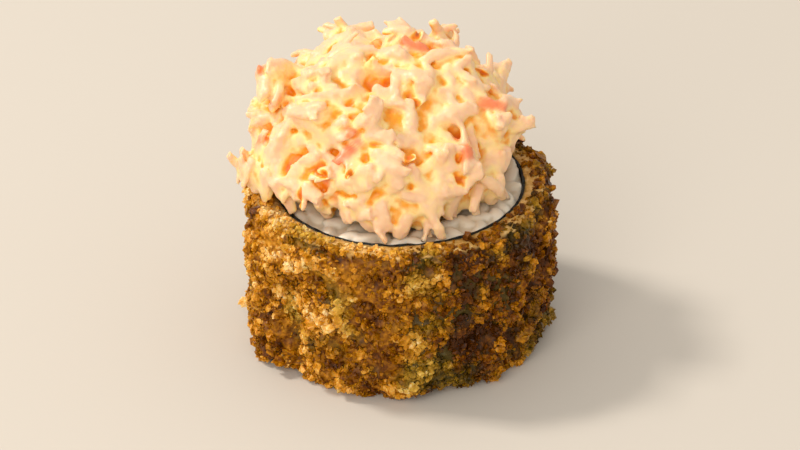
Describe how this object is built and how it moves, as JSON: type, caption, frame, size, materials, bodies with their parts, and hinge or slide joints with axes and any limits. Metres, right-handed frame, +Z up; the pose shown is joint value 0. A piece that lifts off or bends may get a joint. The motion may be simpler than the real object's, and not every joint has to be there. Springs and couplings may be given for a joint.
{
  "type": "tempura sushi roll piece",
  "caption": "One upright slice of a thick, crumbed and deep-fried sushi roll: a crisp coating round nori and pressed rice, topped with a heap of dressed shredded crab.",
  "frame": {"origin": "middle of the flat cut end that the piece stands on", "axes": "+Z up through the roll towards the topping, -Y towards the eye, +X to its right"},
  "size_m": [0.0496, 0.0486, 0.0518],
  "materials": {
    "coating": "golden-brown fried breadcrumbs over pale batter, dry and rough",
    "nori": "black-green steamed seaweed, faint sheen",
    "rice": "moist, glossy, slightly see-through cooked grains",
    "crab": "creamy dressed shreds, soft gloss, peach with orange in the hollows"
  },
  "bodies": {
    "root": {"crumb_coating": "coating", "nori_sheet": "nori", "rice": "rice", "crab_topping": "crab"}
  },
  "joints": []
}
